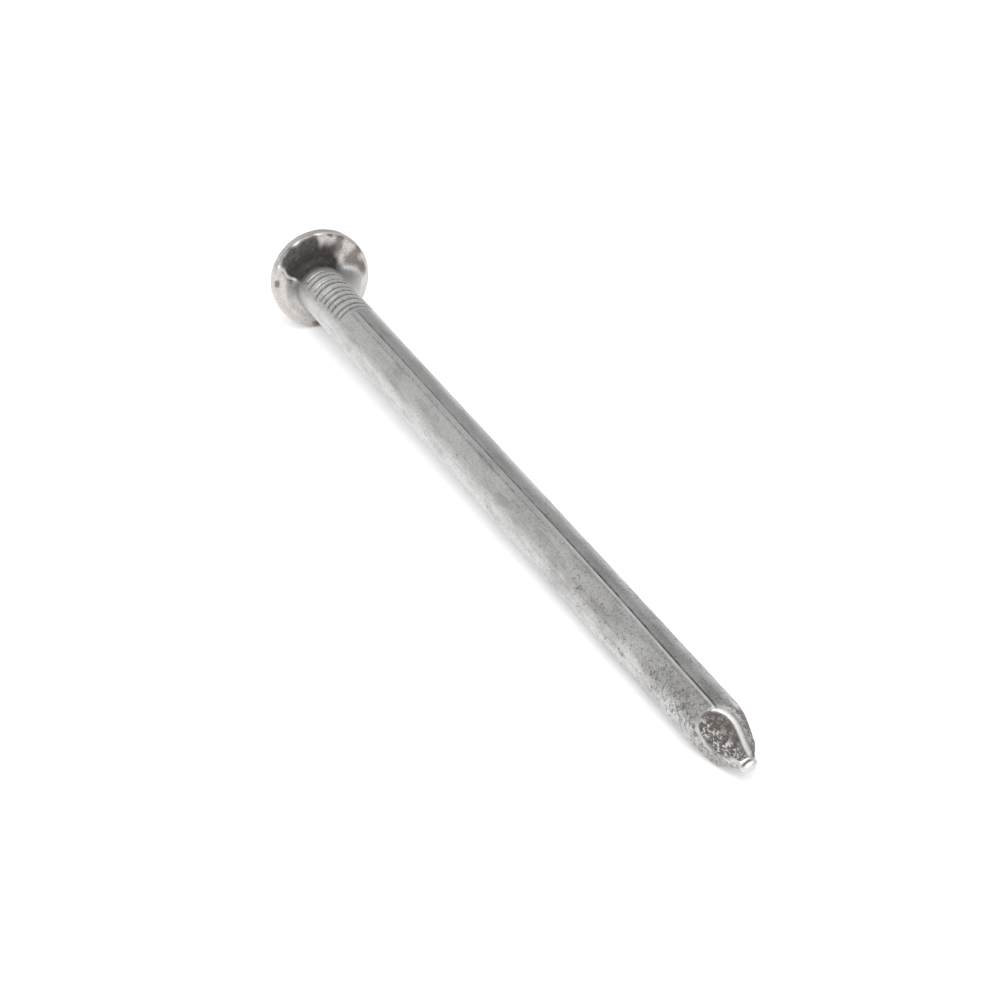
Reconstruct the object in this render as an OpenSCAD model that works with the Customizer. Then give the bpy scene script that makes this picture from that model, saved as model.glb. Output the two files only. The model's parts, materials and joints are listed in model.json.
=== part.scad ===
// Common wire nail, one forged piece of steel wire.
// The nail lies along X: the head is at X = 0 and below, and the point is at +X.
// The origin is the centre of the head's underside, on the shank's axis.
// Angles around the shank are counted from +Y towards +Z.

/* [Shank] */
// Length from the underside of the head to the tip
nail_len = 88.9; // [50:0.1:150]
// Diameter of the wire
shank_d = 4.11; // [3:0.01:6]

/* [Head] */
// Diameter of the head
head_d = 8.8; // [7.5:0.05:13]
// Thickness of the head at its rim
head_thk = 1.2; // [0.9:0.05:2.5]
// Distance that the head sits off the shank's axis
head_shift = 0.55; // [0:0.05:0.7]
// Direction in which the head sits off the axis
head_shift_turn = 37; // [0:1:360]
// Number of shallow flats that forging leaves round the rim
rim_flats = 15; // [9:1:24]
// Depth of a flat at its middle
rim_flat_depth = 0.06; // [0.02:0.01:0.1]
// Direction of the first flat
rim_flat_turn = 270; // [0:1:360]
// Rounding of the rim's struck edge
rim_round_top = 0.4; // [0.1:0.05:0.6]
// Rounding of the rim's lower edge
rim_round_low = 0.25; // [0.1:0.05:0.3]
// Height that the cone under the head gains from the rim to the fillet
underside_rise = 0.2; // [0.05:0.05:0.4]
// Radius of the fillet between the shank and the head
neck_fillet = 0.7; // [0.3:0.05:0.8]

/* [Grip marks] */
// Number of grooves left by the gripper dies on each side
grip_count = 10; // [1:1:14]
// Distance from one groove to the next
grip_pitch = 0.95; // [0.6:0.05:1.2]
// Distance from the underside of the head to the first groove
grip_start = 1.9; // [1.6:0.05:4]
// Depth of a groove at the middle of its side
grip_depth = 0.09; // [0.04:0.01:0.12]
// Width of a groove at the middle of its side
grip_width = 0.56; // [0.3:0.02:0.6]
// Half of the angle that a groove wraps round its side
grip_reach = 58; // [40:1:80]
// Direction of the first gripped side
grip_turn = 95; // [0:1:180]
// Angle that a groove leans from square to the shank
grip_lean = 8; // [0:1:12]

/* [Point] */
// Length of the first pair of facets, up to the nib
point_len = 4.5; // [3:0.1:8]
// Length of the second pair of facets, up to the nib
side_point_len = 5.5; // [3:0.1:9]
// Direction that the first facet faces
point_turn = 108; // [0:1:180]
// Hollow of each facet below a flat one
facet_hollow = 0.12; // [0.04:0.02:0.2]
// Half of the point's width where the nib starts
tip_half = 0.3; // [0.2:0.05:0.5]
// Distance that the tip sits off the axis, towards the first facet of the second pair
tip_shift = 0.2; // [0:0.05:0.3]
// Diameter of the nib
nib_d = 0.56; // [0.3:0.02:0.6]
// Length of the nib beyond the facets
nib_len = 0.7; // [0.5:0.05:1]

/* [Hidden] */

shank_r = shank_d / 2;
head_r = head_d / 2;
neck_r = shank_r + neck_fillet;
neck_sink = 0.05;
facet_end = nail_len - nib_len;
quarter = 90;
half_turn = 180;
steel = [0.60, 0.60, 0.60];

// A groove is a ring whose centre stands off the axis, so it fades out at both ends.
grip_offset = grip_depth / (1 - cos(grip_reach));
grip_inner_r = shank_r - grip_depth + grip_offset;
grip_ring_h = 1.6 * grip_depth;
grip_ring_w = grip_width * grip_ring_h / grip_depth;

round_fn = 96;
arc_steps = 8;
facet_fn = 360;

// Points of an arc, in degrees, about a centre
function arc(centre, r, from, to) =
    [for (i = [0:arc_steps]) let (a = from + (to - from) * i / arc_steps)
        centre + r * [cos(a), sin(a)]];

// Turns a shape built along +Z to lie along +X
module along_x() {
    rotate([0, quarter, 0]) children();
}

// Turns what is built on the +X side of the axis to face the given direction
module facing(turn) {
    rotate([0, 0, turn + quarter]) children();
}

// Half section of the head, with the low cone on its underside
module head_section() {
    polygon(concat(
        [[0, -head_thk]],
        arc([head_r - rim_round_top, rim_round_top - head_thk], rim_round_top, -quarter, 0),
        arc([head_r - rim_round_low, -rim_round_low], rim_round_low, 0, quarter),
        [[neck_r + head_shift, underside_rise], [0, underside_rise]]
    ));
}

// Half section of the neck, which flares from the shank and sinks a little into the head
module neck_section() {
    neck_top = underside_rise + neck_fillet - neck_sink;
    polygon(concat(
        [[0, 0], [neck_r, 0]],
        arc([neck_r, neck_top], neck_fillet, -quarter, -half_turn),
        [[0, neck_top]]
    ));
}

// A prism whose sides are the flats of the rim, the first one on its +X side
module flat_sides() {
    step = 2 * half_turn / rim_flats;
    corner_r = (head_r - rim_flat_depth) / cos(step / 2);
    translate([0, 0, -2 * head_thk])
        linear_extrude(4 * head_thk)
            polygon([for (i = [0:rim_flats - 1]) corner_r * [cos((i + 0.5) * step), sin((i + 0.5) * step)]]);
}

// The head, neck and shank before the grip marks and the point are cut
module blank() {
    facing(head_shift_turn)
        translate([head_shift, 0, 0])
            intersection() {
                rotate_extrude($fn = round_fn) head_section();
                rotate([0, 0, rim_flat_turn - head_shift_turn]) flat_sides();
            }
    rotate_extrude($fn = round_fn) neck_section();
    cylinder(r = shank_r, h = facet_end, $fn = round_fn);
}

// One groove of the gripper dies, at the given distance from the head
module grip_groove(z) {
    translate([-grip_offset, 0, z])
        rotate([grip_lean, 0, 0])
            rotate_extrude($fn = round_fn)
                polygon([
                    [grip_inner_r, 0],
                    [grip_inner_r + grip_ring_h, -grip_ring_w / 2],
                    [grip_inner_r + grip_ring_h, grip_ring_w / 2]
                ]);
}

// The rows of grooves on the two gripped sides
module grip_marks() {
    for (side = [0, half_turn], i = [0:grip_count - 1])
        facing(grip_turn + side) grip_groove(grip_start + i * grip_pitch);
}

// Cuts one hollow facet that is len long and ends at tip_r from the axis
module facet_cut(len, tip_r) {
    drop = shank_r - tip_r;
    chord = norm([len, drop]);
    slope = atan2(drop, len);
    cut_r = chord * chord / (8 * facet_hollow) + facet_hollow / 2;
    reach = cut_r - facet_hollow;
    translate([(shank_r + tip_r) / 2 + reach * cos(slope), 0, facet_end - len / 2 + reach * sin(slope)])
        rotate([quarter, 0, 0])
            cylinder(r = cut_r, h = 2 * shank_d, center = true, $fn = facet_fn);
}

// The four facets of the diamond point
module point_cuts() {
    facing(point_turn) facet_cut(point_len, tip_half);
    facing(point_turn + half_turn) facet_cut(point_len, tip_half);
    facing(point_turn + quarter) facet_cut(side_point_len, tip_half + tip_shift);
    facing(point_turn - quarter) facet_cut(side_point_len, tip_half - tip_shift);
}

// The small stub left where the wire was pinched off
module nib() {
    nib_r = nib_d / 2;
    facing(point_turn + quarter)
        translate([tip_shift, 0, facet_end - nib_len]) {
            cylinder(r = nib_r, h = 2 * nib_len - nib_r, $fn = round_fn);
            translate([0, 0, 2 * nib_len - nib_r]) sphere(r = nib_r, $fn = round_fn);
        }
}

module nail() {
    color(steel) along_x() {
        difference() {
            blank();
            grip_marks();
            point_cuts();
        }
        nib();
    }
}

nail();
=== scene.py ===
"""Common wire nail: the looks of the forged steel nail and the studio that it lies in.

Run as a script, this makes the nail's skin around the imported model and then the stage.
Sizes inside the mesh code are in millimetres, and the finished mesh is in metres.
Angles around the shank are counted from +Y towards +Z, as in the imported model.
"""

import json
import math

import bpy
import numpy as np
from bpy.props import FloatProperty, FloatVectorProperty, IntProperty, PointerProperty
from mathutils import Matrix, Vector, noise


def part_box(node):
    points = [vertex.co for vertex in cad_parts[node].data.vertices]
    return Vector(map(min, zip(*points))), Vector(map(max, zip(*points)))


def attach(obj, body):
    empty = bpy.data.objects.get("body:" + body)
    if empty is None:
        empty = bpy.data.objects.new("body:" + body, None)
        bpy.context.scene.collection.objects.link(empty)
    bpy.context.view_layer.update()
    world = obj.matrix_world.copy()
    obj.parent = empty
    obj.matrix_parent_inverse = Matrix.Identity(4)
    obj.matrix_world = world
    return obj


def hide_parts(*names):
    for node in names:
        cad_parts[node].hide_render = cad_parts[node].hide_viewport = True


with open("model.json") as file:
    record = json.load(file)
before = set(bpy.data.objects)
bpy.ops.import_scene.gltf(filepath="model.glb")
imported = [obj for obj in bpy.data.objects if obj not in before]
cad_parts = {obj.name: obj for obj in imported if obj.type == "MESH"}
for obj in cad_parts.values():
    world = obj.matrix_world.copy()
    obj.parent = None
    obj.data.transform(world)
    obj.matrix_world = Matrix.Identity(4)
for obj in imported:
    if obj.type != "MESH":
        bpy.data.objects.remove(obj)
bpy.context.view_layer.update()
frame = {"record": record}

bl_info = {
    "name": "Wire nail",
    "version": (1, 0, 0),
    "blender": (4, 5, 0),
    "location": "View3D > Sidebar > Nail",
    "description": "Makes a forged steel wire nail and the studio stage that it lies on",
    "category": "Object",
}

MM = 0.001
NAIL_LOW, NAIL_HIGH = (np.array(corner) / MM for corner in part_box("nail"))
SHANK_MOUNT = next(m for m in frame["record"]["mounts"] if m["name"] == "shank")
SHANK_RADIUS = SHANK_MOUNT["dims"]["r_mm"]
FACE_X = NAIL_LOW[0]
TIP_X = NAIL_HIGH[0]
PIECE = "nail_skin"

# What the finish follows, from 0 to 1: patina and pits, rubbed edges with painted highlights, brown scale,
# black scale with painted shade, painted shade, thin warm scale, dark blots, and bare flecks inside the
# hollow.
MARKS = ("mottle", "worn", "rust", "soot", "shade", "tan", "spot", "fleck")

# The skin's rings and columns.
FINE_STEP = 0.062
POLE_RADIUS = 0.14
FACE_RINGS = 32
ROUND_RINGS = 9
CONE_RINGS = 14
NECK_RINGS = 13
SHANK_RINGS = 196
NIB_RINGS = 16
EVEN_COLUMNS = 150

# Directions of the point's facets, in degrees from the first one.
NEAR_SIDE, LEFT_SIDE, FAR_SIDE, UNDER_SIDE, FLASH_SIDE = 0, 90, 180, 248, 290

# Nicks round the rim: direction in radians, depth, and half the width in radians.
RIM_NICKS = (
    (2.35, 0.10, 0.05), (2.62, 0.07, 0.035), (3.55, 0.08, 0.05), (5.2, 0.09, 0.045), (0.35, 0.05, 0.04),
)

# Dark blots under the head: direction in degrees, distance from the axis, and size.
SEAT_BLOTS = (
    (64, 4.08, 0.45), (33, 3.37, 0.70), (35, 4.15, 0.45), (62, 3.40, 0.6), (13, 3.60, 0.6),
    (176, 4.10, 0.42), (97, 4.2, 0.35), (78, 4.25, 0.35), (262, 3.9, 0.55), (305, 3.4, 0.6),
)

# Dents in the shank: place along it, direction in radians, half the length and width, and depth.
DENTS = (
    (42.0, 5.6, 1.5, 0.5, 0.11), (61.0, 4.7, 0.9, 0.35, 0.05),
    (27.0, 4.1, 1.1, 0.3, 0.04), (72.5, 0.2, 0.7, 0.4, 0.04),
)

# The nib's half thickness and half width.
NIB_THICK, NIB_WIDE = 0.36, 0.60

# What tells the grooves of one side from the other's, and the second random number from the first.
SIDE_TAG = 40.0
SEED_STEP = 7.0


def length_mm(name, description, default, low, high):
    """A size in millimetres that a user may change."""
    return FloatProperty(
        name=name, description=description + ", in millimetres",
        default=default, min=low, max=high, precision=3, unit="NONE",
    )


def angle_deg(name, description, default):
    """An angle that a user may change, given here in degrees."""
    return FloatProperty(
        name=name, description=description, default=math.radians(default),
        min=-2 * math.pi, max=2 * math.pi, subtype="ANGLE", unit="ROTATION",
    )


def colour(name, description, default):
    """A colour that a user may change."""
    return FloatVectorProperty(
        name=name, description=description, default=default,
        size=3, min=0.0, max=1.0, subtype="COLOR",
    )


# ---------------------------------------------------------------- settings

class NailShape(bpy.types.PropertyGroup):
    """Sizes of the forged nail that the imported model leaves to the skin."""

    head_d: length_mm("Head diameter", "Diameter of the head", 8.8, 7.5, 13.0)
    head_shift: length_mm("Head shift", "Distance of the head from the shank's axis", 0.55, 0.0, 0.7)
    head_turn: angle_deg("Head direction", "Direction in which the head sits off the axis", 37)
    rim_flats: IntProperty(name="Rim flats", description="Shallow flats round the rim",
                           default=15, min=9, max=24)
    flat_depth: length_mm("Flat depth", "Depth of a rim flat at its middle", 0.06, 0.02, 0.1)
    flat_turn: angle_deg("Flat direction", "Direction of the first rim flat", 270)
    rim_round: length_mm("Rim rounding", "Radius of the struck edge of the head", 0.36, 0.1, 0.6)
    seat_round: length_mm("Seat rounding", "Radius of the lower edge of the head", 0.34, 0.1, 0.6)
    seat_rise: length_mm("Seat rise", "Height of the low cone under the head", 0.2, 0.0, 0.5)
    neck_round: length_mm("Neck fillet", "Radius between the shank and the head", 0.7, 0.3, 1.0)
    web_length: length_mm("Web length", "How far the parting web runs down the shank", 6.2, 1.0, 8.0)
    web_turn: angle_deg("Web direction", "Direction of the parting web", 3)
    fin_turn: angle_deg("Fin direction", "Direction of the thin parting fin", 154)
    grip_count: IntProperty(name="Grip marks", description="Grooves on each side", default=10, min=1, max=14)
    grip_pitch: length_mm("Grip pitch", "Distance between grooves", 0.95, 0.5, 1.5)
    grip_first: length_mm("First groove", "Distance of the first groove from the head", 1.9, 1.0, 4.0)
    grip_depth: length_mm("Grip depth", "Depth of a groove", 0.11, 0.02, 0.2)
    grip_seat: length_mm("Grip seat", "How far the gripped sides are pressed in", 0.045, 0.0, 0.1)
    grip_reach: angle_deg("Grip reach", "Half the angle that a groove wraps", 58)
    grip_turn: angle_deg("Grip direction", "Direction of the first gripped side", 95)
    grip_lean: angle_deg("Grip lean", "Angle of a groove from square to the shank", 8)
    grip_seed: IntProperty(name="Grip seed", description="Seed of the grooves' unevenness", default=4, min=0)
    seam_turn: angle_deg("Seam direction", "Direction of the rolling seam", 97)
    line_turn: angle_deg("Line offset", "Angle from the seam to the fine line beside it", 15)
    seam_depth: length_mm("Seam depth", "Depth of the rolling seam", 0.085, 0.0, 0.2)
    point_turn: angle_deg("Point direction", "Direction that the first facet faces", 108)
    near_turn: angle_deg("Hollow direction", "Direction that the hollow in the first facet faces", 121)
    hollow_wide: length_mm("Hollow width", "Half the width of the hollow in the first facet", 1.06, 0.3, 1.4)
    hollow_deep: length_mm("Hollow depth", "Depth of the hollow in the first facet", 0.24, 0.0, 0.4)
    point_len: length_mm("Point length", "Length of the first pair of facets", 4.5, 2.0, 8.0)
    side_len: length_mm("Side length", "Length of the second pair of facets", 5.6, 2.0, 9.0)
    nib_len: length_mm("Nib length", "Length of the stub left at the tip", 0.7, 0.3, 1.0)
    tip_thick: length_mm("Tip thickness", "Half the tip's size between the first pair", 0.3, 0.1, 0.6)
    tip_wide: length_mm("Tip width", "Half the tip's size between the second pair", 0.46, 0.1, 0.8)
    flash_high: length_mm("Flash height", "Height of the last facet where its flash breaks off",
                          1.06, 0.2, 1.3)
    tip_shift: length_mm("Tip shift", "Distance of the tip from the axis", 0.2, 0.0, 0.4)


class NailFinish(bpy.types.PropertyGroup):
    """Colours of the steel, of what the mill has left on it, and of its painted shade and painted highlights.
    """

    bare: colour("Bare steel", "Worn, drawn steel", (0.60, 0.595, 0.59))
    # Rubbed steel, which is also the colour of the painted highlights.
    polish_and_highlight: colour("Rubbed steel", "Edges that are rubbed bright", (0.74, 0.735, 0.73))
    patina: colour("Patina", "Thin grey scale over the steel", (0.40, 0.395, 0.39))
    # Mill scale, which is also the colour that the painted shade darkens towards.
    scale: colour("Mill scale", "Dark scale in the pits and hollows", (0.06, 0.056, 0.054))
    brown: colour("Brown scale", "Brown scale on the struck and sheared faces", (0.24, 0.19, 0.165))
    tan: colour("Warm scale", "Thin warm scale under the head", (0.62, 0.575, 0.54))


class StageSettings(bpy.types.PropertyGroup):
    """The camera and the light of the studio."""

    camera_x: length_mm("Camera X", "Place of the camera along the nail", 276.3, -2000, 2000)
    camera_y: length_mm("Camera Y", "Place of the camera across the nail", -89.96, -2000, 2000)
    camera_z: length_mm("Camera Z", "Height of the camera above the nail's axis", 120.25, -2000, 2000)
    azimuth: angle_deg("Azimuth", "Direction that the camera looks in, 90 along -X", 68.9)
    elevation: angle_deg("Elevation", "How far the camera looks down", 25.91)
    roll: angle_deg("Roll", "Turn of the camera about its own line of sight", -0.5)
    lens: FloatProperty(name="Lens", description="Focal length for a 36 mm sensor, in millimetres",
                        default=131.4, min=20, max=400, unit="CAMERA")
    floor_colour: colour("Floor", "Colour of the floor", (0.72, 0.72, 0.72))
    floor_glow: FloatProperty(name="Floor glow", description="Light that the lit floor gives",
                              default=0.33, min=0, max=1)
    light_size: FloatProperty(name="Softbox size", description="Length of the softbox's sides",
                              default=1.6, min=0.1, max=5, unit="LENGTH")
    light_power: FloatProperty(name="Softbox power", description="Power of the softbox",
                               default=42, min=0, max=1000, unit="POWER")


# ---------------------------------------------------------------- small helpers

def ease(low, high, value):
    """0 below low, 1 above high, and smooth between."""
    t = np.clip((value - low) / (high - low), 0.0, 1.0)
    return t * t * (3 - 2 * t)


def bell(value, centre, width):
    """A smooth bump of height 1 about centre."""
    return np.exp(-(((value - centre) / width) ** 2))


def turn_between(a, b):
    """The signed angle from b to a, between minus and plus half a turn."""
    return (a - b + math.pi) % (2 * math.pi) - math.pi


def arc(centre, radius, start, end, count):
    """Points of an arc in the (x, radius) plane, with angles in degrees from the radius axis to +X."""
    angles = np.radians(np.linspace(start, end, count))
    return [(centre[0] + radius * math.sin(a), centre[1] + radius * math.cos(a)) for a in angles]


def field(points, size, octaves=3):
    """Smooth noise, about -1 to 1, at points in millimetres, with features of the given size."""
    scaled = points.reshape(-1, 3) / size
    values = [noise.fractal(Vector(p), 0.8, 2.0, octaves) for p in scaled]
    return np.array(values).reshape(points.shape[:-1])


# ---------------------------------------------------------------- the nail's mesh

def nib_start(shape):
    """Where the facets end and the nib starts, along X."""
    return TIP_X - shape.nib_len


def profile(shape):
    """Stations from the middle of the struck face to the end of the nib, as (x, radius)."""
    rim = shape.rim_round
    seat = shape.seat_round
    neck = shape.neck_round
    head_r = shape.head_d / 2
    face_r = head_r - rim
    neck_r = SHANK_RADIUS + neck
    neck_x = shape.seat_rise + neck
    grip_end = shape.grip_first + shape.grip_pitch * shape.grip_count + 0.4
    nib_x = nib_start(shape)
    point_x = nib_x - max(shape.point_len, shape.side_len) - 0.8
    rows = [(FACE_X, r) for r in np.linspace(POLE_RADIUS, face_r, FACE_RINGS)]
    rows += arc((FACE_X + rim, face_r), rim, -90, 0, ROUND_RINGS)[1:]
    rows += arc((-seat, head_r - seat), seat, 0, 80, ROUND_RINGS)
    seat_r = rows[-1][1]
    cone = np.linspace(0, 1, CONE_RINGS)[1:]
    rows += [(rows[-1][0] * (1 - c) + shape.seat_rise * c, seat_r * (1 - c) + neck_r * c) for c in cone]
    rows += arc((neck_x, neck_r), neck, -90, -180, NECK_RINGS)[1:]
    rows += [(x, SHANK_RADIUS) for x in np.arange(neck_x + 0.06, grip_end, FINE_STEP)]
    rows += [(x, SHANK_RADIUS) for x in np.linspace(grip_end, point_x, SHANK_RINGS)]
    rows += [(x, SHANK_RADIUS) for x in np.arange(point_x + 0.07, nib_x, FINE_STEP)]
    rows += [(x, SHANK_RADIUS) for x in np.linspace(nib_x, TIP_X, NIB_RINGS)[:-1]]
    return np.array(rows)


def columns(shape):
    """Angles of the skin's columns: even ones, with fine groups along the seam and its line."""
    even = np.linspace(0, 2 * math.pi, EVEN_COLUMNS, endpoint=False)
    line = shape.seam_turn + shape.line_turn
    fine = shape.seam_turn + np.radians([-3.4, -2.4, -1.6, -0.9, -0.3, 0.3, 0.9, 1.6, 2.4, 3.4])
    thin = line + np.radians([-1.4, -0.5, 0.2, 0.9, 1.8])
    clear = np.abs(turn_between(even, shape.seam_turn)) > np.radians(4.0)
    clear &= np.abs(turn_between(even, line)) > np.radians(2.2)
    return np.sort(np.concatenate([even[clear], fine, thin]) % (2 * math.pi))


def facet_reach(shape, x, centre, ray):
    """How far each ray goes from the centre line before each facet of the point stops it."""
    nib_x = nib_start(shape)
    sides = (
        (NEAR_SIDE, shape.point_len, shape.tip_thick, 0.16),
        (LEFT_SIDE, shape.side_len, shape.tip_wide + shape.tip_shift, 0.02),
        (FAR_SIDE, shape.point_len, shape.tip_thick, 0.12),
        (UNDER_SIDE, shape.side_len, shape.tip_wide, 0.05),
        (FLASH_SIDE, shape.side_len - 0.3, shape.flash_high, -0.08),
    )
    reaches = []
    for turn, length, tip, hollow in sides:
        facing = shape.point_turn + math.radians(turn)
        normal = np.array([math.cos(facing), math.sin(facing)])
        along = (x - (nib_x - length)) / length
        limit = SHANK_RADIUS + (tip - SHANK_RADIUS) * along - 4 * hollow * along * np.clip(1 - along, 0, 1)
        limit = np.where(along < 0, SHANK_RADIUS - 1.6 * along * length, limit)
        if turn == FLASH_SIDE:
            drop = shape.flash_high - shape.tip_wide + shape.tip_shift
            limit -= drop * ease(nib_x - 1.1, nib_x + 0.05, x)
        toward = ray @ normal
        gap = limit - centre @ normal
        reaches.append(np.where(toward > 1e-3, gap[:, None] / np.maximum(toward, 1e-3), 50.0))
    return reaches


def soft_least(values, sharpness):
    """The least of several distances, rounded where two are alike."""
    total = sum(np.maximum(v, 1e-4) ** -sharpness for v in values)
    return total ** (-1 / sharpness)


def shape_skin(shape):
    """The skin's points as rings of columns, and the marks that its finish follows."""
    rows = profile(shape)
    x = rows[:, 0]
    turns = columns(shape)

    # The columns, and the seam that follows them, wander a little round the shank.
    wander = np.radians(5.0) * ease(66, 83, x) + np.radians(0.6) * np.sin(x / 5) * ease(1, 6, x)
    theta = turns[None, :] + wander[:, None]
    ray = np.stack([np.cos(theta), np.sin(theta)], -1)

    # The head sits off the shank's axis, and the tip sits off it the other way.
    head_way = np.array([math.cos(shape.head_turn), math.sin(shape.head_turn)])
    seat_share = ease(SHANK_RADIUS + shape.neck_round, shape.head_d / 2 - 0.4, rows[:, 1])
    on_head = np.where(x < -0.01, 1.0, seat_share)
    tip_turn = shape.point_turn + math.pi / 2
    tip_way = np.array([math.cos(tip_turn), math.sin(tip_turn)])
    nib_x = nib_start(shape)
    to_tip = ease(nib_x - shape.side_len - 0.5, nib_x, x)
    centre = (on_head * shape.head_shift)[:, None] * head_way + (to_tip * shape.tip_shift)[:, None] * tip_way

    radius = np.repeat(rows[:, 1:2], len(turns), 1)
    depth = np.zeros_like(radius)
    marks = {name: np.zeros_like(radius) for name in MARKS}
    head_radius(shape, rows, theta, radius, marks)
    head_marks(shape, rows, theta, marks)
    neck_painted_shade(shape, rows, theta, marks)
    parting_webs(shape, rows, theta, radius, depth, marks)
    point_radius(shape, x, theta, centre, ray, radius, marks)
    seam_and_dents(shape, x, theta, turns, radius, marks)

    points = np.empty(radius.shape + (3,))
    points[..., 0] = x[:, None] + depth
    points[..., 1:] = centre[:, None, :] + radius[..., None] * ray
    roughen(shape, rows, theta, ray, points, marks)
    return points, marks


def head_rings(shape, rows):
    """Which of the rings belong to the head."""
    return (rows[:, 0] < -0.01) | (rows[:, 1] > SHANK_RADIUS + shape.neck_round)


def head_radius(shape, rows, theta, radius, marks):
    """Makes the head's outline uneven, with shallow flats and a few nicks."""
    x, along_r = rows[:, 0], rows[:, 1]
    head_r = shape.head_d / 2
    outer = (ease(0.6, 1.0, along_r / head_r) * head_rings(shape, rows))[:, None]
    step = 2 * math.pi / shape.rim_flats
    off_flat = (theta - shape.flat_turn + step / 2) % step - step / 2
    strength = 0.3 + 0.7 * bell(turn_between(theta, shape.flat_turn), 0, 0.5)
    flat = 1 - shape.flat_depth / head_r * strength * ease(step * 0.55, 0.0, np.abs(off_flat))
    uneven = 0.5 * (1 + np.cos(2 * theta - 0.7)) + 0.35 * (1 + np.cos(3 * theta + 1.9))
    uneven += 0.2 * (1 + np.cos(7 * theta + 0.4))
    radius *= 1 - (1 - flat) * outer
    radius -= 0.035 * uneven * outer
    side = bell(x, FACE_X * 0.45, 0.5)[:, None] * outer
    for turn, size, wide in RIM_NICKS:
        notch = bell(turn_between(theta, turn), 0, wide) * side
        radius -= size * notch
        marks["mottle"] += 0.5 * notch


def head_marks(shape, rows, theta, marks):
    """Marks the struck face, the rim and the underside, with the underside's blots."""
    x, along_r = rows[:, 0], rows[:, 1]
    head_r = shape.head_d / 2
    is_head = head_rings(shape, rows)
    face = ((x <= FACE_X + 0.02) * 1.0)[:, None]
    under = (is_head & (x > -0.2) & (along_r < head_r - 0.1))[:, None] * 1.0
    rim = is_head[:, None] * (1 - face) * (1 - under)
    marks["mottle"] += 0.62 * face + 0.10 * under + 0.10 * rim
    marks["rust"] += 0.85 * face + 0.08 * under + 0.05 * rim
    marks["worn"] += 0.2 * rim + 0.45 * face * ease(0.72, 0.92, along_r / head_r)[:, None]
    marks["tan"] += (0.75 * under + 0.35 * rim) * np.ones_like(theta)
    for turn, far, size in SEAT_BLOTS:
        around = turn_between(theta, math.radians(turn)) * far
        marks["spot"] += bell(np.hypot(around, 1.3 * (along_r[:, None] - far)), 0, size) * under


def neck_painted_shade(shape, rows, theta, marks):
    """Paints shade round the neck, most of it between the web and the fin: the shank's shadow and dark
    reflection under the head.
    """
    x, along_r = rows[:, 0], rows[:, 1]
    seat = ((x > -0.34) & (x < shape.grip_first + 1.4))[:, None]
    sweep = turn_between(theta, shape.web_turn) / turn_between(shape.fin_turn, shape.web_turn)
    dark_to = SHANK_RADIUS + 0.1 + 1.45 * ease(0.08, 0.52, sweep) + 0.8 * ease(0.55, 0.67, sweep)
    dark_to = dark_to + 0.12 * np.sin(11 * theta + 1) + 0.08 * np.sin(23 * theta)
    out = along_r[:, None] - dark_to
    inside = ease(0.35, -0.35, out)
    span = ease(0.02, 0.34, sweep) * (1 - ease(0.985, 1.01, sweep))
    fade = 1 - 0.9 * ease(0.5, 2.6, x)[:, None]
    deep = (0.90 + 0.10 * ease(3.9, 2.7, along_r))[:, None]
    marks["shade"] += seat * inside * span * fade * deep
    # The fillet round the neck is painted darker as well, as painted shade, most of all past the fin.
    ring = ease(SHANK_RADIUS + 1.0, SHANK_RADIUS + 0.4, along_r)[:, None] * seat * ease(1.5, 0.6, x)[:, None]
    past_fin = bell(turn_between(theta, shape.fin_turn + 0.3), 0, 0.45)
    marks["shade"] += ring * (0.12 + 0.5 * past_fin) * (1 - span)


def parting_webs(shape, rows, theta, radius, depth, marks):
    """Raises the web and the thin fin that the gripper dies leave between the head and the shank."""
    x, along_r = rows[:, 0], rows[:, 1]
    head_r = shape.head_d / 2
    use = np.nonzero((x > -0.25) & (along_r < head_r - 0.2) & (x < shape.web_length))[0]
    path = np.concatenate([[0], np.cumsum(np.hypot(np.diff(x[use]), np.diff(along_r[use])))])
    share = path / path[-1]

    # The web's own outline runs from the same start to the same end, along a shallow curve.
    start_x, start_r = x[use][0], along_r[use][0]
    t = np.linspace(0, 1, 200)
    web_x = start_x + (shape.web_length - start_x) * t
    web_r = SHANK_RADIUS + (start_r - SHANK_RADIUS) * (1 - t) ** 1.15
    run = np.concatenate([[0], np.cumsum(np.hypot(np.diff(web_x), np.diff(web_r)))])
    across = turn_between(theta[use], shape.web_turn) * (0.5 * along_r[use][:, None] + 0.8)
    spread = np.where(across > 0, bell(across, 0, 0.7), bell(across, 0, 1.2))
    depth[use] += (np.interp(share, run / run[-1], web_x) - x[use])[:, None] * spread
    radius[use] += (np.interp(share, run / run[-1], web_r) - along_r[use])[:, None] * spread
    # The web is painted lighter, partly rubbed and partly a painted highlight, and is cleared of painted
    # shade and scale.
    marks["worn"][use] += 0.3 * spread
    marks["soot"][use] *= 1 - spread
    marks["shade"][use] *= 1 - 0.9 * spread
    marks["tan"][use] *= 1 - spread

    seat = ((x > -0.3) & (along_r > SHANK_RADIUS + 0.2) & (along_r < head_r - 0.05))[:, None]
    beside = turn_between(theta, shape.fin_turn) * np.maximum(along_r, SHANK_RADIUS)[:, None]
    depth += 0.09 * bell(beside, 0.10, 0.09) * seat - 0.05 * bell(beside, -0.12, 0.1) * seat
    # A painted highlight along the fin, and painted shadow in two lines beside it.
    marks["worn"] += 0.6 * bell(beside, 0.12, 0.08) * seat
    fading = (ease(4.15, 3.7, along_r) * ease(2.3, 2.6, along_r))[:, None]
    marks["shade"] += 0.65 * (bell(beside, 0.30, 0.08) + 0.4 * bell(beside, 0.52, 0.08)) * seat * fading


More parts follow.
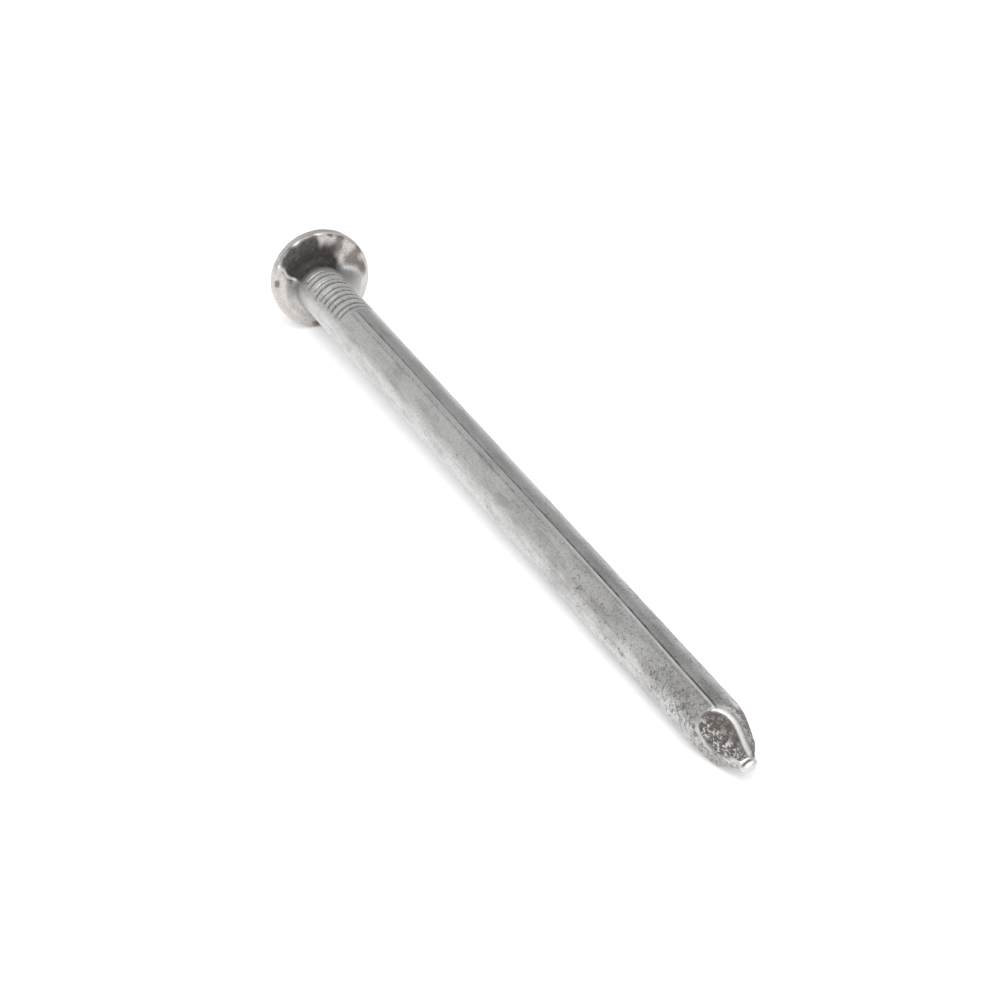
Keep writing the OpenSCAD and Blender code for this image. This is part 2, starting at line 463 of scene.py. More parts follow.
def hollow_edge(shape, part, across):
    """About how far, in millimetres, a place on the first facet is inside its hollow's outline."""
    nib_x = nib_start(shape)
    start, end = nib_x - shape.point_len, nib_x + 0.05
    p = ((part - start) / (end - start))[:, None]
    off = across - 0.27 * (1 - 0.4 * ease(0.7, 1.0, p))
    wide = shape.hollow_wide
    taper = 0.33 + (wide - 0.33) * (1 - ease(0.3, 1.0, p)) + 0.05 * bell(p, 0.75, 0.15)
    front = wide * (1 - np.hypot((p - 0.3) / 0.3, off / wide))
    return np.where(p < 0.3, front, taper - np.abs(off)), p


def sink_hollow(shape, across, edge, p, before_nib, cut):
    """Sinks the hollow into the first facet and gives the raised bead round it."""
    steep = 0.16 + 0.22 * ease(-0.2, 0.8, across)
    bowl = ease(0.0, 1.0, edge / steep) * before_nib
    cut -= shape.hollow_deep * bowl * (1 - 0.45 * ease(0.0, 1.2, across))
    bead = bell(edge, -0.14, 0.15) * before_nib * ease(-0.1, 0.1, p)
    cut += 0.03 * bead
    cut += 0.03 * bell(edge, -0.02, 0.05) * before_nib * ease(0.3, 0.9, across)
    cut -= 0.02 * bell(edge, -0.13, 0.06) * before_nib * ease(0.3, 0.9, across)
    return bead


def sink_band(shape, part, turn, across, edge, before_nib, cut):
    """Lets a streaked face fall away from the hollow's rim to the last facet, and gives its place."""
    nib_x = nib_start(shape)
    band = ease(-0.34, -0.44, edge) * ease(-0.2, -0.5, across)
    band *= ease(nib_x - 4.4, nib_x - 3.5, part)[:, None]
    band *= before_nib
    band *= bell(turn_between(turn, shape.near_turn - 1.2), 0, 0.9)
    cut -= 0.08 * bell(edge, -0.56, 0.2) * band * (part < nib_x - 0.4)[:, None]
    return band


def shape_nib(shape, part, turn, cut):
    """Makes the nib a flattened bead with a lip and a slot, and gives the nib's and the slot's place."""
    nib_x = nib_start(shape)
    end = np.clip((part - nib_x) / shape.nib_len, 0, 1)[:, None]
    size = 1.0 / np.sqrt((np.cos(turn) / NIB_THICK) ** 2 + (np.sin(turn) / NIB_WIDE) ** 2)
    swell = np.sqrt(np.clip(1 - np.clip((end - 0.5) / 0.51, 0, 1) ** 2, 0, 1))
    size = size * np.where(end > 0, swell, 1)
    on_nib = ease(nib_x - 0.16, nib_x + 0.1, part)[:, None]
    cut[:] = cut * (1 - on_nib) + size * on_nib
    first = np.clip(np.cos(turn), 0, 1)
    cut += 0.05 * bell(part, nib_x - 0.04, 0.06)[:, None] * first
    sideways = cut * np.abs(np.sin(turn))
    slot = bell(part, nib_x + 0.22, 0.13)[:, None] * ease(0.46, 0.34, sideways) * (first > 0)
    cut -= 0.24 * slot
    return on_nib, slot


def raise_flash(shape, part, turn, cut):
    """Stands a ragged fin of flash up beside the last facet."""
    flash_turn = shape.point_turn - math.radians(74)
    ragged = 1 + 0.35 * np.sin(part * 23) * np.sin(part * 9 + 1)
    along = bell(part, nib_start(shape) - 1.05, 0.42) * ragged
    flash = bell(turn_between(turn, flash_turn), 0, 0.16) * along[:, None]
    cut += 0.11 * flash


def point_radius(shape, x, theta, centre, ray, radius, marks):
    """Cuts the facets of the point, sinks the hollow in the first one and shapes the nib."""
    nib_x = nib_start(shape)
    rows = np.nonzero(x > nib_x - shape.side_len - 0.7)[0]
    part, turn = x[rows], theta[rows]
    here, way = centre[rows], ray[rows]
    along_ray = np.einsum("ij,ikj->ik", here, way)
    round_wire = np.sqrt(along_ray**2 - (here**2).sum(1)[:, None] + SHANK_RADIUS**2) - along_ray
    near, left, far, under, right = facet_reach(shape, part, here, way)
    cut = soft_least([round_wire, near, left, far, under, right], 26)
    before_nib = 1 - ease(nib_x - 0.3, nib_x - 0.05, part)[:, None]

    # The hollow's outline is measured across the direction that it faces.
    spot = here[:, None, :] + cut[..., None] * way
    sideways = np.array([-math.sin(shape.near_turn), math.cos(shape.near_turn)])
    across = spot @ sideways
    facing = np.cos(turn_between(turn, shape.near_turn)) > 0.2
    edge, p = hollow_edge(shape, part, across)
    edge = np.where(facing, edge, -2.0)

    bead = sink_hollow(shape, across, edge, p, before_nib, cut)
    band = sink_band(shape, part, turn, across, edge, before_nib, cut)
    on_nib, slot = shape_nib(shape, part, turn - shape.near_turn, cut)
    raise_flash(shape, part, turn, cut)
    crease = bell(near - left, 0.0, 0.07) * before_nib * (edge < -0.05)
    cut += 0.018 * crease
    radius[rows] = cut

    in_hollow = ease(-0.07, 0.11, edge) * before_nib
    least = np.minimum.reduce([near, far, under, round_wire])
    on_left = ease(0.02, 0.12, least - left) * before_nib * (1 - in_hollow)
    on_right = ease(0.02, 0.12, least - right) * before_nib * (1 - in_hollow)
    on_right = np.maximum(on_right, 0.85 * band * (1 - on_nib))
    flecked = ease(-0.5, 0.8, across + 0.25 * (part[:, None] - nib_x + 2))
    marks["mottle"][rows] += 0.5 * in_hollow + 0.12 * on_left + 0.3 * on_right
    marks["rust"][rows] += 0.75 * in_hollow + 0.5 * on_left + 0.6 * on_right
    # The nib's slot is darkened with painted shade; the hollow's bead, the nib and the crease between facets
    # are lightened with painted highlights as well as rubbing.
    marks["soot"][rows] += 0.85 * in_hollow + 0.12 * on_right + 0.6 * slot
    marks["shade"][rows] += np.clip(1.8 * slot, 0, 1) + 0.35 * in_hollow + 0.26 * on_right
    marks["fleck"][rows] += in_hollow * (0.15 + 0.85 * flecked)
    marks["worn"][rows] += 0.55 * bead * (1 - in_hollow) + 0.6 * on_nib * (1 - slot) + 0.5 * crease


def seam_and_dents(shape, x, theta, turns, radius, marks):
    """Opens the long rolling seam with its lifted lip, and presses the shallow dents in."""
    seam = turn_between(turns, shape.seam_turn)[None, :] * SHANK_RADIUS
    start = shape.grip_first + shape.grip_pitch * (shape.grip_count - 1) + 0.3
    end = nib_start(shape) - shape.point_len
    run = ease(start, start + 1.5, x) * (1 - ease(end - 0.1, end + 0.25, x))
    strong = 0.7 + 0.3 * ease(44, 66, x)
    uneven = 0.8 + 0.2 * np.sin(x * 1.7) * np.sin(x * 0.61 + 1)
    amount = (run * strong * uneven)[:, None]
    ragged = amount * (0.75 + 0.25 * np.sign(np.sin(x * 9.1) * np.sin(x * 3.7 + 2)))[:, None]
    radius -= shape.seam_depth * bell(seam, 0.0, 0.05) * amount
    radius += 0.3 * shape.seam_depth * bell(seam, 0.12, 0.07) * amount
    line = seam - shape.line_turn * SHANK_RADIUS
    faint = ragged * (1 - ease(50, 62, x))[:, None]
    radius -= 0.3 * shape.seam_depth * bell(line, 0.0, 0.05) * faint
    # The seam and its line are darkened with painted shade over some scale, and the lifted lip gets a painted
    # highlight.
    marks["soot"] += 0.9 * bell(seam, -0.01, 0.06) * ragged + 0.7 * bell(line, 0.0, 0.05) * faint
    marks["shade"] += 0.88 * bell(seam, -0.01, 0.08) * amount + 0.5 * bell(line, 0.0, 0.05) * faint
    marks["worn"] += 0.6 * bell(seam, 0.16, 0.08) * amount * (1 + ease(48, 58, x))[:, None]
    for place, turn, long, wide, deep in DENTS:
        across = turn_between(theta, turn) * SHANK_RADIUS
        away = np.sqrt(((x[:, None] - place) / long) ** 2 + (across / wide) ** 2)
        radius -= deep * (1 - ease(0.55, 1.0, away))
        radius += 0.25 * deep * bell(away, 1.08, 0.14)
        marks["worn"] += 0.5 * bell(away, 1.05, 0.16)
        marks["mottle"] += 0.15 * (1 - ease(0.5, 1.0, away))


def roughen(shape, rows, theta, ray, points, marks):
    """Adds the small lumps of forged and sheared faces, and the mottling along the shank."""
    x, along_r = rows[:, 0], rows[:, 1]
    nib_x = nib_start(shape)
    broad = field(points, 2.6, 2)
    fine = field(points, 0.42, 2)
    tiny = field(points, 0.24, 2)
    on_face = (x <= FACE_X + 0.02)[:, None]
    points[..., 0] += np.where(on_face, 0.012 + 0.012 * np.clip(fine + broad, -1, 1), 0)
    marks["mottle"] += 0.30 * broad * on_face
    cut_face = np.clip(marks["soot"], 0, 1) * (x > nib_x - 6)[:, None]
    lumps = 0.0015 * broad + 0.0012 * fine + 0.055 * tiny * cut_face
    lumps = np.where(on_face | (along_r > shape.head_d / 2 - 0.3)[:, None], 0, lumps)
    points[..., 1:] += lumps[..., None] * ray
    marks["soot"] -= 0.35 * ease(0.1, 0.5, tiny + 0.5 * fine) * marks["fleck"]
    shank = ease(1.0, 4.0, x)[:, None]
    by_point = bell(x, nib_x - 6.5, 5)[:, None] * bell(turn_between(theta, shape.near_turn + 0.45), 0, 0.75)
    marks["mottle"] += shank * 0.13 * by_point
    marks["mottle"] += shank * (0.22 + 0.17 * ease(30, 80, x)[:, None] + 0.08 * broad)


def skin_mesh(points, marks):
    """A closed mesh of the rings, with a pole at the struck face and one at the nib."""
    rings, cols = points.shape[:2]
    poles = np.array([[points[0, :, 0].mean(), *points[0, :, 1:].mean(0)],
                      [TIP_X, *points[-1, :, 1:].mean(0)]])
    verts = np.concatenate([points.reshape(-1, 3), poles]) * MM
    ring, col = np.meshgrid(np.arange(rings - 1), np.arange(cols), indexing="ij")
    after = (col + 1) % cols
    first, second = ring * cols, (ring + 1) * cols
    quads = np.stack([first + col, first + after, second + after, second + col], -1)
    faces = [tuple(q) for q in quads.reshape(-1, 4).tolist()]
    last = (rings - 1) * cols
    first_pole, last_pole = rings * cols, rings * cols + 1
    for c in range(cols):
        n = (c + 1) % cols
        faces.append((first_pole, n, c))
        faces.append((last_pole, last + c, last + n))
    mesh = bpy.data.meshes.new(PIECE)
    mesh.from_pydata(verts.tolist(), [], faces)
    mesh.shade_smooth()
    for name, values in marks.items():
        flat = np.concatenate([values.reshape(-1), [values[0].mean(), values[-1].mean()]])
        layer = mesh.attributes.new(name, "FLOAT", "POINT")
        layer.data.foreach_set("value", np.clip(flat, 0, 1).astype(np.float32))
    mesh.update()
    return mesh


# ---------------------------------------------------------------- grip marks, in geometry nodes

class Nodes:
    """Short ways to add and join nodes in one tree."""

    def __init__(self, tree):
        self.tree = tree

    def add(self, kind, inputs=(), **settings):
        """Adds a node, sets its settings, and joins or fills its inputs in order or by name."""
        node = self.tree.nodes.new(kind)
        for key, value in settings.items():
            setattr(node, key, value)
        pairs = inputs.items() if isinstance(inputs, dict) else enumerate(inputs)
        for key, value in pairs:
            if isinstance(value, bpy.types.NodeSocket):
                self.tree.links.new(value, node.inputs[key])
            elif value is not None:
                node.inputs[key].default_value = value
        return node

    def math(self, operation, *values, clamp=False):
        """The result of one math node, in this tree's own kind."""
        return self.add("ShaderNodeMath", values, operation=operation, use_clamp=clamp).outputs[0]

    def ease(self, value, low, high):
        """0 below low, 1 above high, and smooth between."""
        node = self.add("ShaderNodeMapRange", (value, low, high, 0.0, 1.0), interpolation_type="SMOOTHSTEP")
        return node.outputs[0]


GRIP_INPUTS = (
    ("Count", "NodeSocketInt", "grip_count"), ("Pitch", "NodeSocketFloat", "grip_pitch"),
    ("First", "NodeSocketFloat", "grip_first"), ("Depth", "NodeSocketFloat", "grip_depth"),
    ("Seat", "NodeSocketFloat", "grip_seat"), ("Reach", "NodeSocketFloat", "grip_reach"),
    ("Direction", "NodeSocketFloat", "grip_turn"), ("Lean", "NodeSocketFloat", "grip_lean"),
    ("Radius", "NodeSocketFloat", None), ("Seed", "NodeSocketInt", "grip_seed"),
)


def grip_tree(material):
    """A tree that presses a row of die grooves into two sides of a shank along X."""
    tree = bpy.data.node_groups.new("Grip marks", "GeometryNodeTree")
    face = tree.interface
    face.new_socket("Geometry", in_out="INPUT", socket_type="NodeSocketGeometry")
    for name, kind, _ in GRIP_INPUTS:
        face.new_socket(name, in_out="INPUT", socket_type=kind)
    face.new_socket("Geometry", in_out="OUTPUT", socket_type="NodeSocketGeometry")
    n = Nodes(tree)
    given = n.add("NodeGroupInput").outputs
    place = n.add("GeometryNodeInputPosition").outputs[0]
    axes = n.add("ShaderNodeSeparateXYZ", (place,)).outputs
    x, y, z = (n.math("DIVIDE", axes[i], MM) for i in range(3))

    # The angle from the middle of the nearer gripped side, from minus to plus a quarter turn.
    turn = n.math("SUBTRACT", n.math("ARCTAN2", z, y), given["Direction"])
    off = n.math("SUBTRACT", n.math("FLOORED_MODULO", n.math("ADD", turn, math.pi / 2), math.pi), math.pi / 2)
    lean = n.math("MULTIPLY", n.math("MULTIPLY", n.math("SINE", off), given["Radius"]),
                  n.math("TANGENT", given["Lean"]))
    place_x = n.math("SUBTRACT", n.math("SUBTRACT", x, given["First"]), lean)
    phase = n.math("DIVIDE", place_x, given["Pitch"])
    number = n.math("ROUND", phase)
    side = n.math("GREATER_THAN", n.math("COSINE", turn), 0.0)
    tag = n.math("ADD", number, n.math("MULTIPLY", side, SIDE_TAG))
    chance = n.add("FunctionNodeRandomValue", {"ID": tag, "Seed": given["Seed"]},
                   data_type="FLOAT").outputs[1]
    again = n.add("FunctionNodeRandomValue", {"ID": tag, "Seed": n.math("ADD", given["Seed"], SEED_STEP)},
                  data_type="FLOAT").outputs[1]

    # One groove: a V whose depth, width and place vary a little from groove to groove.
    shift = n.math("MULTIPLY", n.math("SUBTRACT", again, 0.5), 0.16)
    from_mid = n.math("ABSOLUTE", n.math("SUBTRACT", n.math("SUBTRACT", phase, number), shift))
    wide = n.math("MULTIPLY_ADD", chance, 0.12, 0.2)
    vee = n.math("SUBTRACT", 1.0, n.math("DIVIDE", from_mid, wide), clamp=True)
    crest = n.ease(from_mid, 0.27, 0.42)
    deep = n.math("MULTIPLY_ADD", again, 0.5, 0.7)

    # Where the grooves are: between the first and the last, and within the reach of the die.
    spread = n.math("ABSOLUTE", off)
    uneven = n.math("MULTIPLY_ADD", n.math("SUBTRACT", chance, 0.5), 0.28, given["Reach"])
    on_side = n.math("SUBTRACT", 1.0, n.ease(spread, n.math("SUBTRACT", uneven, 0.16), uneven))
    first = n.ease(phase, -0.75, -0.45)
    tail = n.math("SUBTRACT", n.math("SUBTRACT", given["Count"], 1.0), phase)
    last = n.ease(tail, -0.62, -0.4)
    fading = n.math("MULTIPLY_ADD", n.ease(tail, -0.5, 2.5), 0.55, 0.45)
    zone = n.math("MULTIPLY", n.math("MULTIPLY", first, last), on_side)
    cut = n.math("MULTIPLY", n.math("MULTIPLY", vee, n.math("MULTIPLY", deep, given["Depth"])), fading)
    rise = n.math("MULTIPLY", crest, n.math("MULTIPLY", given["Depth"], 0.3))
    inward = n.math("MULTIPLY", n.math("SUBTRACT", n.math("ADD", cut, given["Seat"]), rise), zone)
    flat = n.add("ShaderNodeCombineXYZ", (0.0, axes[1], axes[2])).outputs[0]
    radial = n.add("ShaderNodeVectorMath", (flat,), operation="NORMALIZE").outputs[0]
    push = n.add("ShaderNodeVectorMath", operation="SCALE")
    tree.links.new(radial, push.inputs[0])
    tree.links.new(n.math("MULTIPLY", inward, -MM), push.inputs["Scale"])
    moved = n.add("GeometryNodeSetPosition", {"Geometry": given["Geometry"], "Offset": push.outputs[0]})
    groove = n.math("MULTIPLY", vee, zone)
    ridge = n.math("MULTIPLY", crest, zone)
    stored = n.add("GeometryNodeStoreNamedAttribute", {"Geometry": moved.outputs[0], "Name": "groove"},
                   data_type="FLOAT", domain="POINT")
    tree.links.new(groove, stored.inputs["Value"])
    again_stored = n.add("GeometryNodeStoreNamedAttribute", {"Geometry": stored.outputs[0], "Name": "ridge"},
                         data_type="FLOAT", domain="POINT")
    tree.links.new(ridge, again_stored.inputs["Value"])
    real = n.add("GeometryNodeRealizeInstances", (again_stored.outputs[0],))
    coated = n.add("GeometryNodeSetMaterial", {"Geometry": real.outputs[0], "Material": material})
    tree.links.new(coated.outputs[0], n.add("NodeGroupOutput").inputs[0])
    return tree


def press_grip_marks(obj, shape, material):
    """Runs the grip tree on the nail and keeps the result as a plain mesh."""
    tree = grip_tree(material)
    modifier = obj.modifiers.new("Grip marks", "NODES")
    modifier.node_group = tree
    sockets = {s.name: s.identifier for s in tree.interface.items_tree if s.in_out == "INPUT"}
    for name, _, setting in GRIP_INPUTS:
        modifier[sockets[name]] = getattr(shape, setting) if setting else SHANK_RADIUS
    graph = bpy.context.evaluated_depsgraph_get()
    made = bpy.data.meshes.new_from_object(
        obj.evaluated_get(graph), preserve_all_data_layers=True, depsgraph=graph)
    obj.modifiers.remove(modifier)
    old = obj.data
    obj.data = made
    bpy.data.meshes.remove(old)
    made.name = PIECE


# ---------------------------------------------------------------- the steel

def steel(finish):
    """Drawn steel with grey patina, dark pitted mill scale, brown patches, rubbed edges, painted shade and
    painted highlights.
    """
    material = bpy.data.materials.new("drawn_steel")
    material.use_nodes = True
    tree = material.node_tree
    tree.nodes.clear()
    n = Nodes(tree)
    place = n.add("ShaderNodeTexCoord").outputs["Object"]
    square = n.add("ShaderNodeMapping", {"Vector": place, "Scale": (1 / MM, 1 / MM, 1 / MM)}).outputs[0]
    drawn = n.add("ShaderNodeMapping", {"Vector": place, "Scale": (0.22 / MM, 1 / MM, 1 / MM)}).outputs[0]
    lines = n.add("ShaderNodeMapping", {"Vector": place, "Scale": (0.03 / MM, 1 / MM, 1 / MM)}).outputs[0]

    def texture(vector, scale, detail, rough):
        inputs = {"Vector": vector, "Scale": scale, "Detail": detail, "Roughness": rough}
        return n.add("ShaderNodeTexNoise", inputs).outputs["Fac"]

    def mark(name):
        return n.add("ShaderNodeAttribute", attribute_name=name, attribute_type="GEOMETRY").outputs["Fac"]

    clouds = texture(drawn, 0.9, 6.0, 0.62)
    blots = texture(square, 2.6, 5.0, 0.7)
    specks = texture(square, 8.5, 3.0, 0.6)
    streaks = texture(lines, 6.0, 4.0, 0.6)
    grain = texture(square, 7.0, 3.0, 0.7)
    mottle, worn, rust, soot = mark("mottle"), mark("worn"), mark("rust"), mark("soot")
    spot, fleck, shade, tan = mark("spot"), mark("fleck"), mark("shade"), mark("tan")
    groove, ridge = mark("groove"), mark("ridge")

    # How much patina, dark scale and brown scale lies on the steel.
    amount = n.math("SUBTRACT", n.math("MULTIPLY_ADD", groove, 0.45, mottle),
                    n.math("MULTIPLY", worn, 0.4), clamp=True)
    patina_from = n.math("MULTIPLY_ADD", amount, -0.34, 0.62)
    patina = n.ease(n.math("SUBTRACT", n.math("MULTIPLY_ADD", streaks, 0.3, n.math("MULTIPLY", clouds, 0.7)),
                           patina_from), -0.10, 0.14)
    scale_from = n.math("MULTIPLY_ADD", amount, -0.30, 0.67)
    dark = n.ease(n.math("SUBTRACT", n.math("MULTIPLY_ADD", specks, 0.45, n.math("MULTIPLY", blots, 0.55)),
                         scale_from), -0.02, 0.05)
    brown = n.math("MULTIPLY", n.ease(blots, 0.36, 0.60), rust, clamp=True)

    def blend(factor, a, b):
        return mix_colour(n, {"Factor": factor, "A": a, "B": b})

    # The colour, from the bare steel outwards, with painted shade and painted highlights laid into it.
    tone = blend(patina, (*finish.bare, 1), (*finish.patina, 1))
    tone = blend(n.math("MULTIPLY", tan, 0.85), tone, (*finish.tan, 1))
    tone = blend(n.math("MULTIPLY", n.ease(grain, 0.42, 0.62), 0.26), tone, (*finish.scale, 1))
    tone = blend(n.math("MULTIPLY", dark, 0.8), tone, (*finish.scale, 1))
    # Black scale, which also carries painted shade in the nib's slot and the seam.
    torn = n.ease(n.math("ADD", soot, n.math("MULTIPLY_ADD", blots, 1.6, -0.8)), 0.40, 0.80)
    cover = n.math("MAXIMUM", n.math("MULTIPLY", soot, 0.6), torn, clamp=True)
    tone = blend(n.math("MULTIPLY", cover, 0.95), tone, (*finish.scale, 1))
    # Painted shade: the shade mark and the grip grooves darken the colour towards the scale colour.
    shade = n.math("MAXIMUM", shade, n.math("MULTIPLY", groove, 0.55))
    shade = n.math("MULTIPLY", shade, n.math("MULTIPLY_ADD", blots, 0.5, 0.76), clamp=True)
    tone = blend(shade, tone, (*finish.scale, 1))
    ragged = n.math("MULTIPLY_ADD", specks, 0.45, n.math("MULTIPLY", blots, 0.55))
    blot = n.ease(n.math("MULTIPLY_ADD", ragged, 0.9, n.math("MULTIPLY", spot, 0.6)), 0.60, 1.0)
    blot = n.math("MULTIPLY", blot, n.math("MINIMUM", n.math("MULTIPLY", spot, 3.0), 1.0))
    tone = blend(n.math("MULTIPLY", blot, 0.65), tone, (*finish.brown, 1))
    tone = blend(n.math("MULTIPLY", blot, 0.45), tone, (*finish.scale, 1))
    tone = blend(n.math("MULTIPLY", brown, 0.5), tone, (*finish.brown, 1))
    bright = n.ease(n.math("MULTIPLY_ADD", blots, 0.65, n.math("MULTIPLY", specks, 0.35)), 0.49, 0.58)
    tone = blend(n.math("MULTIPLY", n.math("MULTIPLY", bright, fleck), 0.9), tone, (*finish.bare, 1))
    # Rubbed edges and painted highlights, with the grip ridges, lighten the colour towards the rubbed steel.
    rubbed = n.math("MAXIMUM", worn, n.math("MULTIPLY", ridge, 0.25))
    tone = blend(n.math("MULTIPLY", rubbed, 0.6, clamp=True), tone, (*finish.polish_and_highlight, 1))

    # Scale, shading, rubbed edges and grip marks are all rougher than the drawn steel.
    rough = n.math("MULTIPLY_ADD", patina, 0.06, 0.38)
    rough = n.math("MULTIPLY_ADD", n.math("MAXIMUM", dark, brown), 0.22, rough)
    matt = n.math("MAXIMUM", n.math("MULTIPLY", shade, 0.38), n.math("MULTIPLY", worn, 0.22))
    pressed = n.math("MULTIPLY", n.math("MAXIMUM", ridge, groove), 0.26)
    rough = n.math("ADD", rough, n.math("MAXIMUM", matt, pressed))
    rough = n.math("MULTIPLY_ADD", n.math("SUBTRACT", grain, 0.5), 0.12, rough, clamp=True)
    metal = n.math("MULTIPLY_ADD", n.math("MAXIMUM", dark, brown), -0.45, 1.0, clamp=True)

    # Pits, drawing lines and grain, as fine bumps.
    height = n.math("MULTIPLY_ADD", dark, -0.6, n.math("MULTIPLY", streaks, 0.8))
    height = n.math("MULTIPLY_ADD", grain, 0.35, height)
    height = n.math("MULTIPLY_ADD", blots, 0.7, height)
    bump = n.add("ShaderNodeBump", {"Height": height, "Strength": 0.5, "Distance": 0.014 * MM})
    shader = n.add("ShaderNodeBsdfPrincipled", {
        "Base Color": tone, "Metallic": metal, "Roughness": rough, "Normal": bump.outputs[0]})
    tree.links.new(shader.outputs[0], n.add("ShaderNodeOutputMaterial").inputs[0])
    return material


def mix_colour(n, inputs):
    """A colour mix, whose sockets are the third group of the mix node."""
    node = n.tree.nodes.new("ShaderNodeMix")
    node.data_type = "RGBA"
    for index, key in ((0, "Factor"), (6, "A"), (7, "B")):
        value = inputs[key]
        if isinstance(value, bpy.types.NodeSocket):
            n.tree.links.new(value, node.inputs[index])
        else:
            node.inputs[index].default_value = value
    return node.outputs[2]


# ---------------------------------------------------------------- the stage

def resting_plane(obj):
    """The height and slope of the floor that the head's rim and the shank lie on."""
    co = np.array([v.co for v in obj.data.vertices])
    head = co[co[:, 0] < 0]
    low = head[head[:, 2].argmin()]
    shank = co[co[:, 0] > 0.3 * TIP_X * MM]
    slope = ((shank[:, 2] - low[2]) / (shank[:, 0] - low[0])).min()
    return low, slope


def plain_material(name, tint, roughness, glow):
    """A matt, evenly lit material for the floor."""
    material = bpy.data.materials.new(name)
    material.use_nodes = True
    shader = material.node_tree.nodes["Principled BSDF"]
    shader.inputs["Base Color"].default_value = (*tint, 1)
    shader.inputs["Roughness"].default_value = roughness
    shader.inputs["Specular IOR Level"].default_value = 0.2
    shader.inputs["Emission Color"].default_value = (*tint, 1)
    shader.inputs["Emission Strength"].default_value = glow
    return material


def make_floor(settings, obj):
    """A wide pale floor that touches the nail's head and shank."""
    low, slope = resting_plane(obj)
    half = 4.0
    corners = [(-half, -half), (half, -half), (half, half), (-half, half)]
    verts = [(x, y, low[2] + slope * (x - low[0])) for x, y in corners]
    mesh = bpy.data.meshes.new("floor")
    mesh.from_pydata(verts, [], [(0, 1, 2, 3)])
    mesh.materials.append(plain_material("pale_floor", settings.floor_colour, 0.8, settings.floor_glow))
    floor = bpy.data.objects.new("floor", mesh)
    bpy.context.scene.collection.objects.link(floor)


def make_light(name, place, aim, size, energy):
    """A large soft area light."""
    data = bpy.data.lights.new(name, "AREA")
    data.shape = "RECTANGLE"
    data.size, data.size_y = size
    data.energy = energy
    light = bpy.data.objects.new(name, data)
    light.location = place
    light.rotation_euler = (Vector(aim) - Vector(place)).to_track_quat("-Z", "Y").to_euler()
    bpy.context.scene.collection.objects.link(light)


def make_world():
    """A pale room that is a little darker past the nail's far side."""
    world = bpy.data.worlds.new("studio")
    bpy.context.scene.world = world
    world.use_nodes = True
    tree = world.node_tree
    n = Nodes(tree)
    way = n.add("ShaderNodeTexCoord").outputs["Generated"]
    x, y = n.add("ShaderNodeSeparateXYZ", (way,)).outputs[:2]
    far_side = n.math("MULTIPLY", n.ease(y, -0.15, 0.3), n.ease(n.math("MULTIPLY", x, -1.0), 0.2, 0.7))
    far_side = n.math("MULTIPLY", far_side, n.ease(y, 0.62, 0.48))
    level = n.math("MULTIPLY_ADD", far_side, -0.34, 0.78)
    level = n.math("MULTIPLY_ADD", n.ease(x, 0.0, 0.6), -0.25, level)
    node = tree.nodes["Background"]
    tree.links.new(level, node.inputs["Strength"])
    node.inputs["Color"].default_value = (1, 1, 1, 1)


def make_camera(settings):
    """A long lens at the chosen angle, with no depth of field."""
    data = bpy.data.cameras.new("camera")
    data.lens = settings.lens
    data.clip_start = 0.01
    camera = bpy.data.objects.new("camera", data)
    a, e = settings.azimuth, settings.elevation
    look = Vector((-math.sin(a) * math.cos(e), math.cos(a) * math.cos(e), -math.sin(e)))
    facing = look.to_track_quat("-Z", "Y").to_matrix() @ Matrix.Rotation(settings.roll, 3, "Z")
    camera.matrix_world = Matrix.Translation(
        Vector((settings.camera_x, settings.camera_y, settings.camera_z)) * MM) @ facing.to_4x4()
    bpy.context.scene.collection.objects.link(camera)
    bpy.context.scene.camera = camera


# ---------------------------------------------------------------- operators

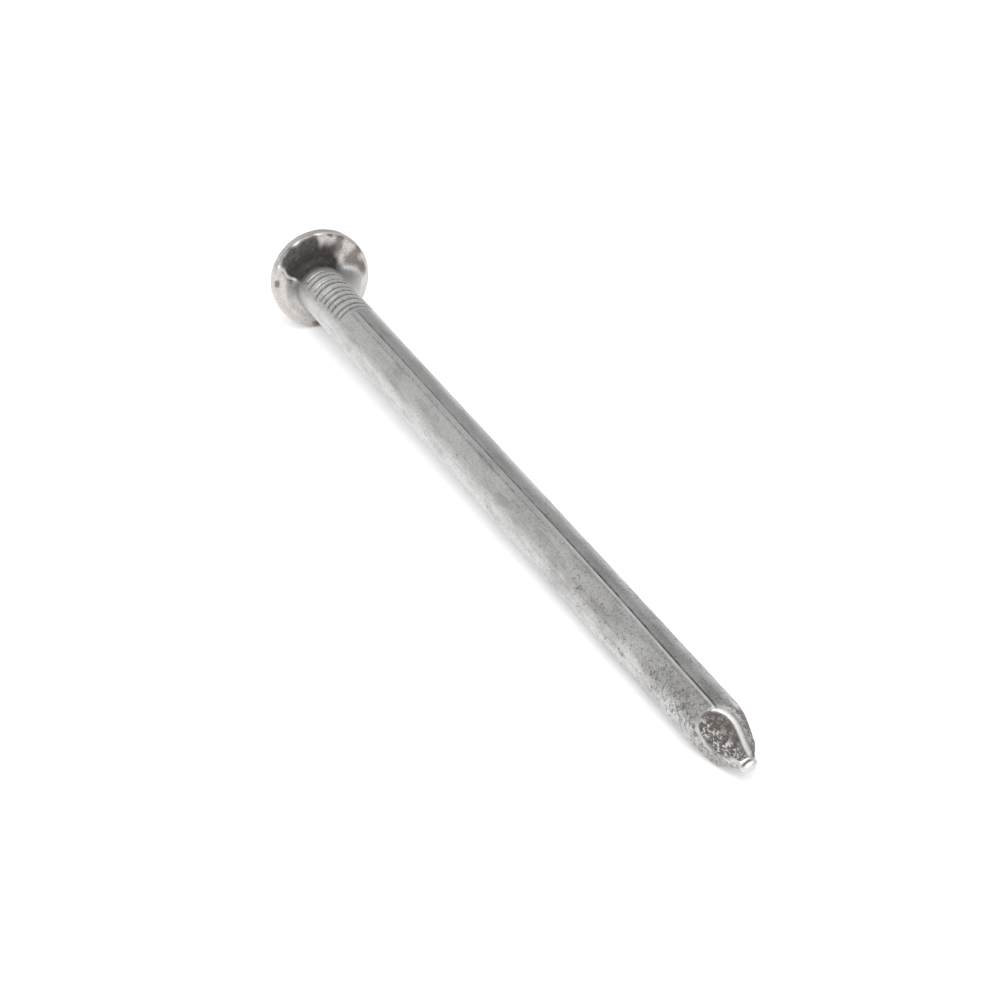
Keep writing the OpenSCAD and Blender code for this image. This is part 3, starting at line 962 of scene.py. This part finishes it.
class NAIL_OT_make_nail(bpy.types.Operator):
    """Make the forged nail: head, grip marks, seamed shank and sheared point"""

    bl_idname = "nail.make_nail"
    bl_label = "Make the nail"

    def execute(self, context):
        shape = context.scene.nail_shape
        points, marks = shape_skin(shape)
        obj = bpy.data.objects.new(PIECE, skin_mesh(points, marks))
        context.scene.collection.objects.link(obj)
        press_grip_marks(obj, shape, steel(context.scene.nail_finish))
        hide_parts("nail")
        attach(obj, "root")
        return {"FINISHED"}


class NAIL_OT_make_stage(bpy.types.Operator):
    """Make the pale floor, the soft lights and the camera"""

    bl_idname = "nail.make_stage"
    bl_label = "Make the stage"

    def execute(self, context):
        settings = context.scene.nail_stage
        make_floor(settings, bpy.data.objects[PIECE])
        make_world()
        size = (settings.light_size, settings.light_size)
        make_light("softbox", (1.0, -0.5, 1.3), (0.05, 0, 0), size, settings.light_power)
        make_camera(settings)
        context.scene.view_settings.view_transform = "Standard"
        return {"FINISHED"}


class NAIL_PT_panel(bpy.types.Panel):
    """Panel with the nail's sizes, colours and stage"""

    bl_label = "Wire nail"
    bl_idname = "NAIL_PT_panel"
    bl_space_type = "VIEW_3D"
    bl_region_type = "UI"
    bl_category = "Nail"

    def draw(self, context):
        scene = context.scene
        for title, group, button in (("Nail", scene.nail_shape, "nail.make_nail"),
                                     ("Steel", scene.nail_finish, None),
                                     ("Stage", scene.nail_stage, "nail.make_stage")):
            box = self.layout.box()
            box.label(text=title)
            for name in group.__annotations__:
                box.prop(group, name)
            if button:
                box.operator(button)


CLASSES = (NailShape, NailFinish, StageSettings, NAIL_OT_make_nail, NAIL_OT_make_stage, NAIL_PT_panel)


def register():
    for item in CLASSES:
        bpy.utils.register_class(item)
    bpy.types.Scene.nail_shape = PointerProperty(type=NailShape)
    bpy.types.Scene.nail_finish = PointerProperty(type=NailFinish)
    bpy.types.Scene.nail_stage = PointerProperty(type=StageSettings)


def unregister():
    for name in ("nail_stage", "nail_finish", "nail_shape"):
        delattr(bpy.types.Scene, name)
    for item in reversed(CLASSES):
        bpy.utils.unregister_class(item)


def main():
    register()
    bpy.ops.nail.make_nail()
    bpy.ops.nail.make_stage()


if __name__ == "__main__":
    main()
